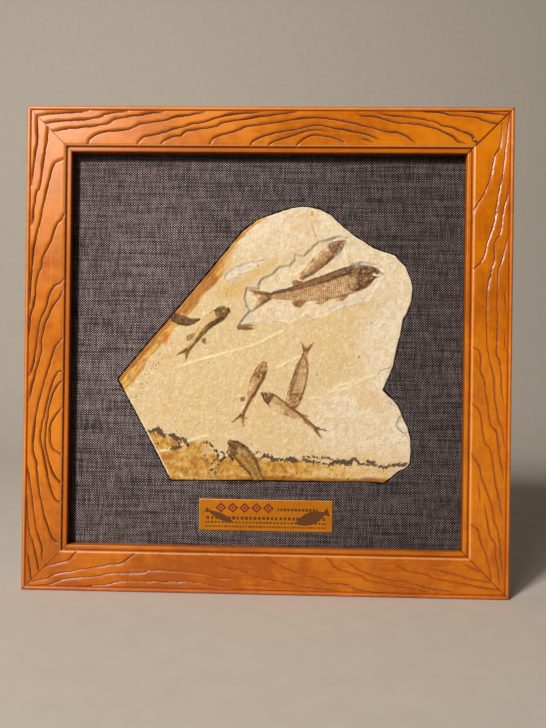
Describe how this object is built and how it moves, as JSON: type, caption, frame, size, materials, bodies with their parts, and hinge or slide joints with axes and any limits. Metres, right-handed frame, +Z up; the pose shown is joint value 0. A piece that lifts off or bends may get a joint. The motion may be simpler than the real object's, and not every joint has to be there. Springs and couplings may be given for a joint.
{
  "type": "framed fossil fish slab",
  "caption": "Broken slab of pale limestone with small fossil fish, set in the window of a linen mat inside a square orange-brown moulded wooden frame, with a small gold name plate",
  "frame": {"origin": "the middle of the frame's bottom edge, midway through its depth", "axes": "+Z up, +X to the right seen from the front, +Y from the front to the back through the thickness"},
  "size_m": [0.35, 0.024, 0.35],
  "materials": {
    "frame_wood": "orange-brown lacquer over a carved wavy grain",
    "linen": "dark grey plain-weave linen with pale slubs",
    "board": "raw fibreboard",
    "limestone": "matte cream limestone with ochre and rust bands, manganese specks and brown fossil bone",
    "gold_plate": null,
    "fixings": "zinc-plated steel"
  },
  "bodies": {
    "root": {"rail_top": "frame_wood", "rail_bottom": "frame_wood", "rail_left": "frame_wood", "rail_right": "frame_wood", "linen_cover": "linen", "mat_board": "board", "backing_board": "board", "fossil_slab": "limestone", "name_plate": "gold_plate", "hanger_strip": "fixings", "hanger_rivet_1": "fixings", "hanger_rivet_2": "fixings", "point_top_1": "fixings", "point_top_2": "fixings", "point_bottom_1": "fixings", "point_bottom_2": "fixings", "point_left_1": "fixings", "point_left_2": "fixings", "point_right_1": "fixings", "point_right_2": "fixings"}
  },
  "joints": []
}
